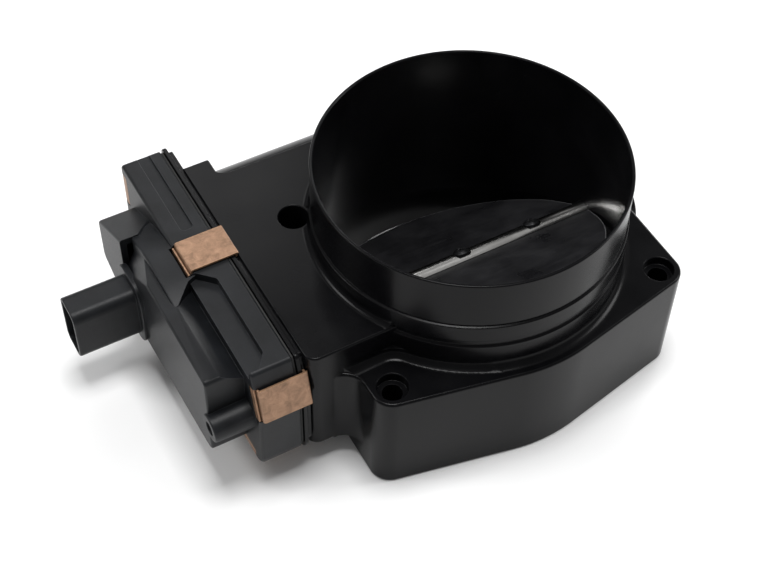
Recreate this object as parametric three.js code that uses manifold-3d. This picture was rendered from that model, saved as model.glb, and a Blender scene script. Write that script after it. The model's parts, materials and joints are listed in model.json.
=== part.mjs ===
// Electronic throttle body: a machined housing with a large bore, a throttle plate on a cross shaft,
// a motor with a two-stage gear train, and a moulded gear cover held by spring clips.
//
// Millimetres, +Z up. The throttle shaft lies along X: the gear housing is at -X and the idle
// bearing at +X. Every piece is drawn about the bore axis, with the mounting flange's face at z = 0,
// and the whole is then moved so that the origin is at the bottom centre of the assembly.

import * as THREE from 'three';
import { mergeVertices } from 'three/addons/utils/BufferGeometryUtils.js';
import Module from 'manifold-3d';

const wasm = await Module();
wasm.setup();

// ---------------------------------------------------------------- driving dimensions

const inletDiameter = 127;        // outside of the air inlet tube
const boreDiameter = 121;         // where the plate closes
const bodyHeight = 101;           // flange face to the end of the inlet tube
const padHeight = 53;             // thickness of the flange pad, up to the bolt seats
const gearHousingTop = 68.5;      // flat top of the gear housing
const shaftHeight = 40.2;         // throttle shaft axis above the flange face
const gap = 0.3;                  // clearance kept between neighbouring solids

const boltX = 62.2;               // the four flange bolts stand at +-boltX
const boltFrontY = -50;
const boltRearY = 32.8;
const boltHoleDiameter = 8.2;
const boltSeatDiameter = 12.4;
const boltSeatDepth = 4.2;
const boltCornerRadius = 9;

const restOpening = 31;           // plate angle at rest, in degrees from square across the bore
const closedOpening = 7;          // plate angle when its edge meets the bore
const plateThickness = 3;
const shaftDiameter = 9;
const plateScrewPitch = 34.5;

const motorY = 62.4;              // motor axis, parallel to the shaft
const motorZ = 43;
const gearModule = 1;
const sectorTeeth = 48;           // on the full pitch circle; only a sector is cut
const idlerSmallTeeth = 19;
const idlerLargeTeeth = 47;
const pinionTeeth = 11;

const housingFrontY = -35.4;      // front wall of the gear housing
const housingBackY = 94;
const housingBottomZ = 12;
const flangeFaceX = -93.5;        // joint face between the gear housing and its cover
const coverFaceX = -94.8;
const coverRimX = -112;           // outer edge of the cover's rim
const coverBlockX = -128;         // outer face of the cover's electronics block
const connectorEndX = -156.5;
const idleBossEndX = 77.5;
const flangeBulgeRadius = 70.5;   // the flange pad bulges out round the bore
const wallThickness = 2.8;        // cover walls

const roundSegments = 64;         // facets on the large circles
const throughAll = 100;           // long enough for a cutting tool to pass through anything

// ---------------------------------------------------------------- materials

const anodised = { color: 0x17171a, roughness: 0.38, metalness: 0.6 };
const polishedSteel = { color: 0xc9c7c2, roughness: 0.22, metalness: 1 };
const blackenedSteel = { color: 0x2a2a2c, roughness: 0.45, metalness: 0.9 };
const blackPlastic = { color: 0x232528, roughness: 0.62, metalness: 0 };
const gearPlastic = { color: 0xd8d3c4, roughness: 0.5, metalness: 0 };
const rubber = { color: 0x101010, roughness: 0.8, metalness: 0 };
const copperSpring = { color: 0xa77a55, roughness: 0.38, metalness: 0.9 };
const tinnedBrass = { color: 0xb9a878, roughness: 0.3, metalness: 1 };
const zincSteel = { color: 0x9fa3a6, roughness: 0.35, metalness: 0.95 };
const boardGreen = { color: 0x1f4a2c, roughness: 0.55, metalness: 0 };
const magnetGrey = { color: 0x5a5a5c, roughness: 0.45, metalness: 0.6 };

// ---------------------------------------------------------------- joining and cutting

// Turns a closed three.js geometry into a solid that can be joined and cut.
function solid(geometry) {
  const bare = geometry.clone();
  bare.deleteAttribute('normal');
  bare.deleteAttribute('uv');
  const merged = mergeVertices(bare, 1e-4);
  return new wasm.Manifold(new wasm.Mesh({
    numProp: 3,
    vertProperties: new Float32Array(merged.attributes.position.array),
    triVerts: new Uint32Array(merged.index.array),
  }));
}

function toGeometry(body) {
  const mesh = body.getMesh();
  const geometry = new THREE.BufferGeometry();
  geometry.setAttribute('position', new THREE.BufferAttribute(mesh.vertProperties.slice(), 3));
  geometry.setIndex(new THREE.BufferAttribute(mesh.triVerts.slice(), 1));
  geometry.computeVertexNormals();
  return geometry;
}

const join = (...bodies) => bodies.reduce((sum, body) => sum.add(body));
const cut = (body, ...tools) => tools.reduce((rest, tool) => rest.subtract(tool), body);

// ---------------------------------------------------------------- basic shapes

const X = new THREE.Vector3(1, 0, 0);
const Y = new THREE.Vector3(0, 1, 0);
const Z = new THREE.Vector3(0, 0, 1);
const drawnInYZ = new THREE.Matrix4().makeBasis(Y, Z, X);
const drawnInXZ = new THREE.Matrix4().makeBasis(X, Z, Y.clone().negate());
const radians = THREE.MathUtils.degToRad;

// Extrudes a shape between two levels; a bevel rounds both ends without growing the outline.
function extrude(shape, from, to, bevel, curveSegments) {
  const geometry = new THREE.ExtrudeGeometry(shape, {
    depth: to - from - 2 * bevel,
    bevelEnabled: bevel > 0,
    bevelThickness: bevel,
    bevelSize: bevel,
    bevelOffset: -bevel,
    bevelSegments: 1,
    curveSegments,
  });
  return geometry.translate(0, 0, from + bevel);
}

// Drawn in plan (X, Y) and raised along Z.
function extrudeZ(shape, z0, z1, bevel = 0, curveSegments = 3) {
  return solid(extrude(shape, z0, z1, bevel, curveSegments));
}

// Drawn in side view (Y, Z) and carried along X.
function extrudeX(shape, x0, x1, bevel = 0, curveSegments = 3) {
  return solid(extrude(shape, x0, x1, bevel, curveSegments).applyMatrix4(drawnInYZ));
}

// Drawn in front view (X, Z) and carried along Y.
function extrudeY(shape, y0, y1, bevel = 0, curveSegments = 3) {
  return solid(extrude(shape, -y1, -y0, bevel, curveSegments).applyMatrix4(drawnInXZ));
}

function cylinderZ(x, y, radius, z0, z1, segments = 16) {
  const geometry = new THREE.CylinderGeometry(radius, radius, z1 - z0, segments);
  return solid(geometry.rotateX(Math.PI / 2).translate(x, y, (z0 + z1) / 2));
}

function cylinderX(y, z, radius, x0, x1, segments = 28) {
  const geometry = new THREE.CylinderGeometry(radius, radius, x1 - x0, segments);
  return solid(geometry.rotateZ(Math.PI / 2).translate((x0 + x1) / 2, y, z));
}

function box(x0, x1, y0, y1, z0, z1) {
  const geometry = new THREE.BoxGeometry(x1 - x0, y1 - y0, z1 - z0);
  return solid(geometry.translate((x0 + x1) / 2, (y0 + y1) / 2, (z0 + z1) / 2));
}

// Turns a profile of [radius, height] pairs about the Z axis.
function latheZ(profile, segments = roundSegments) {
  const points = profile.map(([radius, height]) => new THREE.Vector2(radius, height));
  return solid(new THREE.LatheGeometry(points, segments).rotateX(Math.PI / 2));
}

// Turns a profile of [radius, x] pairs about an axis parallel to X.
function latheX(profile, y, z, segments = 28) {
  const points = profile.map(([radius, height]) => new THREE.Vector2(radius, height));
  return solid(new THREE.LatheGeometry(points, segments).rotateZ(-Math.PI / 2).translate(0, y, z));
}

function ringX(y, z, inner, outer, x0, x1, segments = 28) {
  return latheX([[inner, x0], [outer, x0], [outer, x1], [inner, x1], [inner, x0]], y, z, segments);
}

// A closed outline round a list of circles [x, y, radius], taken anticlockwise,
// joined by the straight lines that touch both neighbours.
function outlineRound(circles) {
  const shape = new THREE.Shape();
  const count = circles.length;
  const normals = circles.map(([x0, y0, r0], i) => {
    const [x1, y1, r1] = circles[(i + 1) % count];
    const along = Math.atan2(y1 - y0, x1 - x0);
    return along - Math.acos((r0 - r1) / Math.hypot(x1 - x0, y1 - y0));
  });
  circles.forEach(([x, y, radius], i) => {
    const start = normals[(i + count - 1) % count];
    shape.absarc(x, y, radius, start, normals[i], false);
  });
  return shape;
}

// A polygon given as [a, b, radius] corners, each rounded to its radius.
function roundedPolygon(corners) {
  const shape = new THREE.Shape();
  const count = corners.length;
  corners.forEach(([a, b, radius], i) => {
    const here = new THREE.Vector2(a, b);
    const before = new THREE.Vector2(...corners[(i + count - 1) % count]).sub(here).normalize();
    const after = new THREE.Vector2(...corners[(i + 1) % count]).sub(here).normalize();
    const halfAngle = Math.acos(before.dot(after)) / 2;
    const reach = radius / Math.tan(halfAngle);
    const start = before.clone().multiplyScalar(reach).add(here);
    const end = after.clone().multiplyScalar(reach).add(here);
    if (i === 0) {
      shape.moveTo(start.x, start.y);
    } else {
      shape.lineTo(start.x, start.y);
    }
    if (radius > 0) {
      const middle = before.clone().add(after).normalize().multiplyScalar(radius / Math.sin(halfAngle));
      const centre = middle.add(here);
      const turnsLeft = before.cross(after) < 0;
      const from = Math.atan2(start.y - centre.y, start.x - centre.x);
      const to = Math.atan2(end.y - centre.y, end.x - centre.x);
      shape.absarc(centre.x, centre.y, radius, from, to, !turnsLeft);
    }
  });
  shape.closePath();
  return shape;
}

const rectangle = (a0, a1, b0, b1, radius) => roundedPolygon([
  [a0, b0, radius], [a1, b0, radius], [a1, b1, radius], [a0, b1, radius],
]);

// ---------------------------------------------------------------- the assembly

const throttleBody = new THREE.Group();

function addPart(name, body, finish, placement = new THREE.Matrix4()) {
  const geometry = toGeometry(body).applyMatrix4(placement);
  const mesh = new THREE.Mesh(geometry, new THREE.MeshStandardMaterial(finish));
  mesh.name = name;
  throttleBody.add(mesh);
  return mesh;
}

// ---------------------------------------------------------------- the machined housing

const tubeRadius = inletDiameter / 2;
const boreRadius = boreDiameter / 2;
const tubFloorX = -82;
const tubBackX = -78.9;           // outside of the tub's floor
const neckX = -90.2;              // the clip groove's wall, behind the joint flange
const blockBackY = 67.8;          // back wall of the gear housing beside the tube
const collarRadius = tubeRadius + 0.8;
const bearingRadius = 11;
const motorRadius = 16.5;
const coilRadius = 15;
const sealRadius = 8.9;

// Bolt places [x, y, level of the face the bolt goes in through].
const boltPlaces = [
  [-boltX, boltFrontY, padHeight],
  [boltX, boltFrontY, padHeight],
  [boltX, boltRearY, padHeight],
  [-boltX, boltRearY, gearHousingTop],
];

// Outline of the joint between gear housing and cover; the inset moves every side inwards.
const coverOutline = (inset) => roundedPolygon([
  [housingFrontY - 1 + inset, housingBottomZ + inset, 7],
  [housingBackY - inset, housingBottomZ + inset, 14],
  [housingBackY - inset, gearHousingTop - inset, 3],
  [housingFrontY + 5 + inset, gearHousingTop - inset, 2],
  [housingFrontY - 1 + inset, 46, 12],
]);
// The tub behind the joint slopes off at its top back corner, outside and inside.
const tubOutline = () => roundedPolygon([
  [-20, housingBottomZ, 15], [housingBackY, housingBottomZ, 15], [housingBackY, 47, 5],
  [77.9, gearHousingTop, 1], [-20, gearHousingTop, 15],
]);
const tubCavityOutline = () => roundedPolygon([
  [-30, 14.8, 9], [88.5, 14.8, 9], [88.5, 49, 4], [76.2, 65.4, 3], [-30, 65.4, 9],
]);

// The idler gear stands where its distances to the shaft and to the motor both suit the teeth.
const idler = (() => {
  const toShaft = gearModule * (sectorTeeth + idlerSmallTeeth) / 2;
  const toMotor = gearModule * (idlerLargeTeeth + pinionTeeth) / 2;
  const span = Math.hypot(motorY, motorZ - shaftHeight);
  const along = (toShaft ** 2 - toMotor ** 2 + span ** 2) / (2 * span);
  const aside = Math.sqrt(toShaft ** 2 - along ** 2);
  const tilt = Math.atan2(motorZ - shaftHeight, motorY);
  return {
    y: along * Math.cos(tilt) + aside * Math.sin(tilt),
    z: shaftHeight + along * Math.sin(tilt) - aside * Math.cos(tilt),
  };
})();

// A quarter-round inside corner between a floor at z0 and a wall at the given radius.
function filletPoints(wallRadius, z0, radius, steps = 3) {
  return Array.from({ length: steps + 1 }, (_, i) => {
    const turn = (Math.PI / 2) * (i / steps);
    return [wallRadius + radius * (1 - Math.sin(turn)), z0 + radius * (1 - Math.cos(turn))];
  });
}

function inletTube() {
  const collar = collarRadius;
  return latheZ([
    [0, padHeight - 10], [collar + 4, padHeight - 10],
    ...filletPoints(collar, padHeight, 4),
    [collar, 65.5], [collar - 0.9, 66.2], [collar - 0.9, 68.8], [collar, 69.5],
    [collar, 77.2], [collar - 1.1, 77.6], [collar - 1.1, 78.2], [tubeRadius, 78.4],
    [tubeRadius, bodyHeight - 0.6], [tubeRadius - 0.6, bodyHeight], [0, bodyHeight],
  ]);
}

function flangePad() {
  const corner = ([x, y]) => [x, y, boltCornerRadius];
  const bulge = [0, 0, flangeBulgeRadius];
  const [frontLeft, frontRight, rearRight, rearLeft] = boltPlaces.map(corner);
  const outline = outlineRound([frontLeft, bulge, frontRight, rearRight, bulge, rearLeft]);
  return extrudeZ(outline, 0, padHeight, 1, 6);
}

function gearHousing() {
  const tub = extrudeX(tubOutline(), -92.5, tubBackX, 0.8);
  const plan = roundedPolygon([
    [neckX, housingFrontY, 5], [-27, housingFrontY, 0], [-27, blockBackY, 5],
    [tubBackX - 0.9, blockBackY, 6], [tubBackX - 0.9, 77.5, 0], [neckX, 77.5, 0],
  ]);
  const block = extrudeZ(plan, housingBottomZ, gearHousingTop, 0.8);
  const flange = extrudeX(coverOutline(0), flangeFaceX, -91.7, 0.3);
  const neck = extrudeX(coverOutline(1.6), -92, -89.8);
  const body = cut(join(tub, block),
    box(neckX - 10, neckX, -throughAll, throughAll, 0, throughAll));
  return join(body, neck, flange);
}

function motorHousing() {
  const radius = 23;
  const end = -24;
  const rounding = filletPoints(0, 0, 5).map(([a, b]) => [radius - b, end - a]);
  return latheX([[0, -80], [radius, -80], ...rounding, [0, end]], motorY, motorZ, 36);
}

function idleBoss() {
  const radius = 15;
  return latheX([[0, 60], [radius, 60], [radius, idleBossEndX - 0.8], [radius - 0.8, idleBossEndX],
    [0, idleBossEndX]], 0, shaftHeight, 28);
}

// Rounds off the inside corners where the gear housing meets the pad and the tube.
function housingFillets() {
  const side = new THREE.Shape();
  const padSide = -(boltX + boltCornerRadius);
  const radius = 5;
  side.moveTo(padSide + 2, housingFrontY + 2);
  side.lineTo(padSide - radius, housingFrontY + 2);
  side.lineTo(padSide - radius, housingFrontY);
  side.absarc(padSide - radius, housingFrontY - radius, radius, Math.PI / 2, 0, true);
  side.lineTo(padSide + 2, housingFrontY - radius);
  const upright = extrudeZ(side, housingBottomZ, padHeight - 1);
  const collar = collarRadius;
  const ring = latheZ([
    [collar - 2, gearHousingTop - 1], [collar + 3, gearHousingTop - 1],
    ...filletPoints(collar, gearHousingTop, 3), [collar - 2, gearHousingTop + 3],
    [collar - 2, gearHousingTop - 1],
  ]);
  const overBlock = box(-78, -27, housingFrontY, blockBackY, gearHousingTop - 2, gearHousingTop + 4);
  return join(upright, ring.intersect(overBlock));
}

function boltHole([x, y, faceZ]) {
  const seatZ = padHeight - boltSeatDepth;
  return join(
    cylinderZ(x, y, boltHoleDiameter / 2, -1, seatZ + 1),
    cylinderZ(x, y, boltSeatDiameter / 2, seatZ, faceZ + 1),
    cylinderZ(x, y, boltSeatDiameter / 2 + 1, faceZ, bodyHeight + 1, 24),
  );
}

function bore() {
  return latheZ([
    [0, -1], [boreRadius, -1], [boreRadius, 60], [tubeRadius - 1.4, bodyHeight],
    [tubeRadius - 1.4, bodyHeight + 1], [0, bodyHeight + 1],
  ]);
}

function shaftPassage() {
  return join(
    cylinderX(0, shaftHeight, coilRadius + 1.5, -84, -77, 32),
    cylinderX(0, shaftHeight, bearingRadius + 0.1, -78, -69.5, 28),
    cylinderX(0, shaftHeight, sealRadius + 0.1, -70, -65),
    cylinderX(0, shaftHeight, shaftDiameter / 2 + 0.3, -66, 66),
    cylinderX(0, shaftHeight, sealRadius + 0.1, 62.4, 67),
    cylinderX(0, shaftHeight, bearingRadius + 0.1, 66, 79, 28),
  );
}

const bracketAngle = radians(120);
const bracketScrewReach = 20.5;
const bracketScrewPlaces = [-1, 1].map((side) => ({
  y: motorY + side * bracketScrewReach * Math.cos(bracketAngle),
  z: motorZ + side * bracketScrewReach * Math.sin(bracketAngle),
}));
const stopScrew = { x: -88.4, y: -8 };
const motorBackX = -45;

function makeHousing() {
  const body = join(inletTube(), flangePad(), gearHousing(), motorHousing(), idleBoss(),
    housingFillets());
  const sealGroove = latheZ([[62.4, -1], [65.3, -1], [65.3, 2], [62.4, 2], [62.4, -1]], 48);
  const bracketHoles = bracketScrewPlaces.map(({ y, z }) => cylinderX(y, z, 2.1, -83, -73, 16));
  return cut(body, bore(), ...boltPlaces.map(boltHole), sealGroove, shaftPassage(),
    extrudeX(tubCavityOutline(), -95, tubFloorX),
    cylinderX(motorY, motorZ, motorRadius + 0.3, tubFloorX - 1, motorBackX + 1, 40),
    cylinderX(idler.y, idler.z, 2.6, tubFloorX - 1, -75, 20),
    cylinderZ(stopScrew.x, stopScrew.y, 2.8, housingBottomZ - 1, 20, 20),
    ...bracketHoles);
}

addPart('throttle_housing', makeHousing(), anodised);
addPart('flange_seal', latheZ([[62.6, 0.3], [65, 0.3], [65, 1.7], [62.6, 1.7], [62.6, 0.3]], 48),
  rubber);

// ---------------------------------------------------------------- bearings, seals and stop

function bearing(x0, x1) {
  const middle = (bearingRadius + shaftDiameter / 2) / 2;
  const outside = ringX(0, shaftHeight, shaftDiameter / 2 + 0.05, bearingRadius, x0, x1, 28);
  const grooves = [x0, x1].map((x) => (
    ringX(0, shaftHeight, middle - 1.8, middle + 1.8, x - 0.6, x + 0.6, 28)));
  return cut(outside, ...grooves);
}

function shaftSeal(x0, x1) {
  return ringX(0, shaftHeight, shaftDiameter / 2 + 0.1, sealRadius, x0, x1);
}

addPart('gear_side_bearing', bearing(-76.8, -69.8), zincSteel);
addPart('idle_side_bearing', bearing(66.3, 73.3), zincSteel);
addPart('gear_side_shaft_seal', shaftSeal(-69.4, -65.4), rubber);
addPart('idle_side_shaft_seal', shaftSeal(62.7, 65.8), rubber);
addPart('idle_side_plug',
  latheX([[0, 74.4], [11, 74.4], [11, 77.2], [8, 77.2], [7.4, 75.6], [0, 75.6]], 0, shaftHeight, 40),
  zincSteel);

function makeStopScrew() {
  const { x, y } = stopScrew;
  return join(
    cylinderZ(x, y, 2.5, 8.4, 21.6, 20),
    cylinderZ(x, y, 4.4, 8, 11.6, 6),
  );
}

addPart('closed_stop_screw', makeStopScrew(), zincSteel);

// ---------------------------------------------------------------- shaft and throttle plate

// The plate is drawn flat about the shaft axis, then turned to its rest opening.
const onShaft = new THREE.Matrix4().makeTranslation(0, 0, shaftHeight)
  .multiply(new THREE.Matrix4().makeRotationX(-radians(restOpening)));
const plateRadius = boreRadius - 0.35;
const plateScrewX = [-plateScrewPitch, 0, plateScrewPitch];
const shaftEndX = 73;
const shaftGearEndX = -90.4;
const plateSeatZ = 3.1;

function makeShaft() {
  const round = cylinderX(0, 0, shaftDiameter / 2, shaftGearEndX, shaftEndX);
  const halfSlot = plateThickness / 2 + gap / 2;
  const slot = box(-boreRadius, boreRadius, -10, 10, -halfSlot, halfSlot);
  const holes = plateScrewX.map((x) => cylinderZ(x, 0, 2.3, -10, 10));
  const seats = plateScrewX.map((x) => cylinderZ(x, 0, 4.1, plateSeatZ, 10, 20));
  const clipGroove = ringX(0, 0, 3.6, 6, -78.3, -77.1);
  return cut(round, slot, clipGroove, ...holes, ...seats);
}

// The rim is ground to lie along the bore when the plate is closed.
function makePlate() {
  const lean = radians(closedOpening);
  const blank = cylinderZ(0, 0, plateRadius, -30, 30, roundSegments).getMesh();
  const geometry = new THREE.BufferGeometry();
  geometry.setAttribute('position', new THREE.BufferAttribute(blank.vertProperties.slice(), 3));
  geometry.setIndex(new THREE.BufferAttribute(blank.triVerts.slice(), 1));
  const boreCore = solid(geometry.rotateX(lean));
  const slab = box(-80, 80, -80, 80, -plateThickness / 2, plateThickness / 2);
  const holes = plateScrewX.map((x) => cylinderZ(x, 0, 2.3, -10, 10));
  return cut(slab.intersect(boreCore), ...holes);
}

function makePlateScrew(x) {
  const shank = 2.05;
  const top = plateSeatZ + 0.2 + 2.3;
  const screw = latheZ([
    [0, -4.2], [shank, -4.2], [shank, plateSeatZ + 0.2], [3.5, plateSeatZ + 0.2],
    [3.5, top - 1], [2.8, top - 0.3], [1.5, top], [0, top],
  ], 20);
  const recess = join(
    box(-1.7, 1.7, -0.4, 0.4, top - 1.2, top + 1),
    box(-0.4, 0.4, -1.7, 1.7, top - 1.2, top + 1),
  );
  const geometry = toGeometry(cut(screw, recess));
  return solid(geometry.translate(x, 0, 0));
}

addPart('throttle_shaft', makeShaft(), polishedSteel, onShaft);
addPart('throttle_plate', makePlate(), blackenedSteel, onShaft);
plateScrewX.forEach((x, i) => addPart(`plate_screw_${i + 1}`, makePlateScrew(x), blackenedSteel, onShaft));
addPart('shaft_retaining_clip', makeRetainingClip(), blackenedSteel, onShaft);

// An open spring clip that sits in the shaft's groove.
function makeRetainingClip() {
  const ring = ringX(0, 0, 3.8, 6.4, -78.1, -77.4);
  return cut(ring, box(-80, -76, -1.6, 1.6, 0, 10));
}

// ---------------------------------------------------------------- motor and gear train

const sectorX = [-91, -86];
const largeGearX = [-100, -95];
const pinionX = [-101, -94];

// A plain gear outline with straight-flanked teeth. Teeth stand at start + i * pitch; where only
// part of the circle has teeth, the rest follows the given blank radius.
function gearOutline({ teeth, firstTooth, cutTeeth = teeth, blankRadius = 0 }) {
  const pitchRadius = gearModule * teeth / 2;
  const tip = pitchRadius + 0.8 * gearModule;
  const root = pitchRadius - 1.15 * gearModule;
  const pitchAngle = 2 * Math.PI / teeth;
  const halfTip = 0.26 * gearModule / tip;
  const halfRoot = 0.82 * gearModule / root;
  const points = [];
  const put = (radius, angle) => {
    points.push(new THREE.Vector2(radius * Math.cos(angle), radius * Math.sin(angle)));
  };
  for (let i = 0; i < cutTeeth; i += 1) {
    const middle = firstTooth + i * pitchAngle;
    put(root, middle - halfRoot);
    put(tip, middle - halfTip);
    put(tip, middle + halfTip);
    put(root, middle + halfRoot);
  }
  if (blankRadius > 0) {
    const from = firstTooth + (cutTeeth - 0.5) * pitchAngle;
    const sweep = 2 * Math.PI - cutTeeth * pitchAngle;
    for (let i = 0; i <= 12; i += 1) {
      put(blankRadius, from + sweep * (i / 12));
    }
  }
  return new THREE.Shape(points);
}

const placed = (body, y, z) => solid(toGeometry(body).translate(0, y, z));
const idlerFromShaft = Math.atan2(idler.z - shaftHeight, idler.y);
const motorFromIdler = Math.atan2(motorZ - idler.z, motorY - idler.y);

// The sector's teeth reach from the mesh point as far as the shaft turns each way.
function makeSectorGear() {
  const pitch = 2 * Math.PI / sectorTeeth;
  const outline = gearOutline({
    teeth: sectorTeeth,
    firstTooth: idlerFromShaft - 4 * pitch,
    cutTeeth: 14,
    blankRadius: 11,
  });
  const lugAngle = radians(208);
  const lug = box(sectorX[0], sectorX[1], 9, 22.5, -2.4, 2.4);
  const turnedLug = solid(toGeometry(lug).rotateX(lugAngle));
  const flat = join(extrudeX(outline, sectorX[0], sectorX[1]), turnedLug);
  const hub = ringX(0, 0, 3, 9.5, sectorX[1] - 0.5, sectorX[1] + 1.2);
  return cut(join(placed(flat, 0, shaftHeight), placed(hub, 0, shaftHeight)),
    cylinderX(0, shaftHeight, shaftDiameter / 2 + 0.1, -90.7, -80));
}

function makeIdlerGear() {
  const pitchSmall = 2 * Math.PI / idlerSmallTeeth;
  const small = gearOutline({
    teeth: idlerSmallTeeth,
    firstTooth: idlerFromShaft + Math.PI + pitchSmall / 2,
  });
  const large = gearOutline({ teeth: idlerLargeTeeth, firstTooth: motorFromIdler });
  const body = join(
    extrudeX(small, sectorX[0] - 0.5, sectorX[1] + 0.5),
    extrudeX(large, largeGearX[0], largeGearX[1]),
    cylinderX(0, 0, 7, largeGearX[1] - 1, sectorX[0], 28),
  );
  const dish = ringX(0, 0, 8, 19, largeGearX[0] - 1, largeGearX[0] + 1.6);
  return placed(cut(body, dish, cylinderX(0, 0, 2.6, -110, -80, 24)), idler.y, idler.z);
}

function makePinion() {
  const pitch = 2 * Math.PI / pinionTeeth;
  const outline = gearOutline({ teeth: pinionTeeth, firstTooth: motorFromIdler + Math.PI + pitch / 2 });
  const teeth = extrudeX(outline, pinionX[0], pinionX[1]);
  const stem = cylinderX(0, 0, 1.6, pinionX[1] - 1, -68, 20);
  return placed(join(teeth, stem), motorY, motorZ);
}

function makeMotorCan() {
  const end = motorBackX;
  const body = latheX([
    [0, tubFloorX], [motorRadius, tubFloorX], [motorRadius, end - 2],
    [motorRadius - 1.5, end - 0.4], [0, end - 0.4],
  ], motorY, motorZ, 40);
  return cut(body, cylinderX(motorY, motorZ, 1.75, tubFloorX - 1, -67, 20));
}

const bracketX = [tubFloorX - 1.7, tubFloorX - 0.3];

function makeMotorBracket() {
  const across = 6;
  const reach = bracketScrewReach;
  const bar = outlineRound([[reach, 0, across - 1.5], [-reach, 0, across - 1.5]]);
  const plate = join(extrudeX(bar, bracketX[0], bracketX[1]), cylinderX(0, 0, 8.5, bracketX[0], bracketX[1]));
  const holes = [-reach, 0, reach].map((y) => (
    cylinderX(y, 0, y === 0 ? 3.5 : 2.3, bracketX[0] - 1, bracketX[1] + 1, 20)));
  const turned = toGeometry(cut(plate, ...holes)).rotateX(bracketAngle);
  return solid(turned.translate(0, motorY, motorZ));
}

function makeBracketScrew({ y, z }) {
  const seat = bracketX[0] - 0.3;
  return latheX([[0, seat - 2.4], [3, seat - 2.4], [3.5, seat - 1.6], [3.5, seat], [1.9, seat],
    [1.9, -73.5], [0, -73.5]], y, z, 20);
}

addPart('motor_can', makeMotorCan(), zincSteel);
addPart('motor_bracket', makeMotorBracket(), zincSteel);
bracketScrewPlaces.forEach((place, i) => (
  addPart(`motor_bracket_screw_${i + 1}`, makeBracketScrew(place), blackenedSteel)));
[-1, 1].forEach((side, i) => addPart(`motor_terminal_${i + 1}`,
  box(-105, tubFloorX - 0.3, motorY + 12.6, motorY + 13.4, motorZ + side * 5 - 1.5, motorZ + side * 5 + 1.5),
  tinnedBrass));
addPart('motor_pinion', makePinion(), tinnedBrass);
addPart('intermediate_gear', makeIdlerGear(), gearPlastic);
addPart('intermediate_gear_pin', latheX([[0, -103.5], [2, -103.5], [2.5, -103], [2.5, -76], [0, -76]],
  idler.y, idler.z, 24), polishedSteel);
addPart('sector_gear', makeSectorGear(), gearPlastic);
addPart('sensor_magnet', latheX([[0, -97], [6, -97], [6.5, -96.5], [6.5, -91.3], [0, -91.3]], 0,
  shaftHeight, 28), magnetGrey);

// The return spring is a flat stack of coils round the bush.
function makeReturnSpring() {
  const wire = 1.1;
  const turns = 2.5;
  const radius = 13.4;
  const points = 40;
  const coil = new THREE.CatmullRomCurve3(Array.from({ length: points + 1 }, (_, i) => {
    const angle = 2 * Math.PI * turns * (i / points);
    const x = -79.2 - 5 * (i / points);
    return new THREE.Vector3(x, radius * Math.cos(angle), radius * Math.sin(angle));
  }));
  const section = new THREE.Shape().absarc(0, 0, wire, 0, 2 * Math.PI, false);
  const geometry = new THREE.ExtrudeGeometry(section, {
    steps: 44, curveSegments: 3, bevelEnabled: false, extrudePath: coil,
  });
  return solid(geometry.translate(0, 0, shaftHeight));
}

addPart('spring_bush', ringX(0, shaftHeight, 7, 11.6, -84.5, -79.3, 36), gearPlastic);
addPart('return_spring', makeReturnSpring(), blackenedSteel);

// ---------------------------------------------------------------- spring clips

// Each clip is a strap across the joint: a tooth in the housing's groove at one end and a folded
// leg behind the cover's rim at the other. It is drawn with u towards the cover, v outwards.
const clipWidth = 16;
const clipGrooveX = -90.6;
const clipStrapTop = 1.15;        // outer face of the strap above the surface it lies on
const clipOutline = () => roundedPolygon([
  [-0.7, gap, 0], [0, gap, 0], [0, -1.2, 0], [0.8, -1.2, 0], [0.8, gap, 0],
  [19.4, gap, 0], [19.4, -5.1, 0.5], [21.3, -5.1, 0.5], [21.3, -1.2, 0], [20.5, -1.2, 0],
  [20.5, -4.3, 0], [20.2, -4.3, 0], [20.2, clipStrapTop, 0.8], [-0.7, clipStrapTop, 0.5],
]);

const slantedFront = new THREE.Vector3(0, -22.5, 6).normalize();
const clips = [
  { name: 'cover_clip_top', outward: Z, y: 25.5, z: gearHousingTop },
  { name: 'cover_clip_front', outward: slantedFront, y: -36.6, z: 45.2 },
  { name: 'cover_clip_bottom_front', outward: Z.clone().negate(), y: -13, z: housingBottomZ },
  { name: 'cover_clip_bottom_back', outward: Z.clone().negate(), y: 66, z: housingBottomZ },
  { name: 'cover_clip_back', outward: Y, y: housingBackY, z: 62.5 },
];

function clipFrame({ outward, y, z }) {
  const towardsCover = X.clone().negate();
  const across = towardsCover.clone().cross(outward);
  const turn = new THREE.Matrix4().makeBasis(towardsCover, outward, across);
  return new THREE.Matrix4().makeTranslation(clipGrooveX, y, z).multiply(turn);
}

function makeClip(clip) {
  const strap = extrude(clipOutline(), 0, clipWidth, 0, 2);
  return solid(strap.applyMatrix4(clipFrame(clip)));
}

function clipNotch(clip) {
  const side = 0.4;
  const notch = extrude(rectangle(19, 22.6, -5.5, 9, 0), -side, clipWidth + side, 0, 2);
  return solid(notch.applyMatrix4(clipFrame(clip)));
}

clips.forEach((clip) => addPart(clip.name, makeClip(clip), copperSpring));

// ---------------------------------------------------------------- gear cover

const connector = { y: 49.3, z: 34.2, width: 15.4, height: 26.8, corner: 4.5 };
const pinPlaces = [-3, 3].flatMap((dy) => [-6, 0, 6].map((dz) => (
  [connector.y + dy, connector.z + dz])));
const pinSide = 1;

const connectorOutline = (grow) => rectangle(
  connector.y - connector.width / 2 - grow, connector.y + connector.width / 2 + grow,
  connector.z - connector.height / 2 - grow, connector.z + connector.height / 2 + grow,
  connector.corner + grow);

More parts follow.
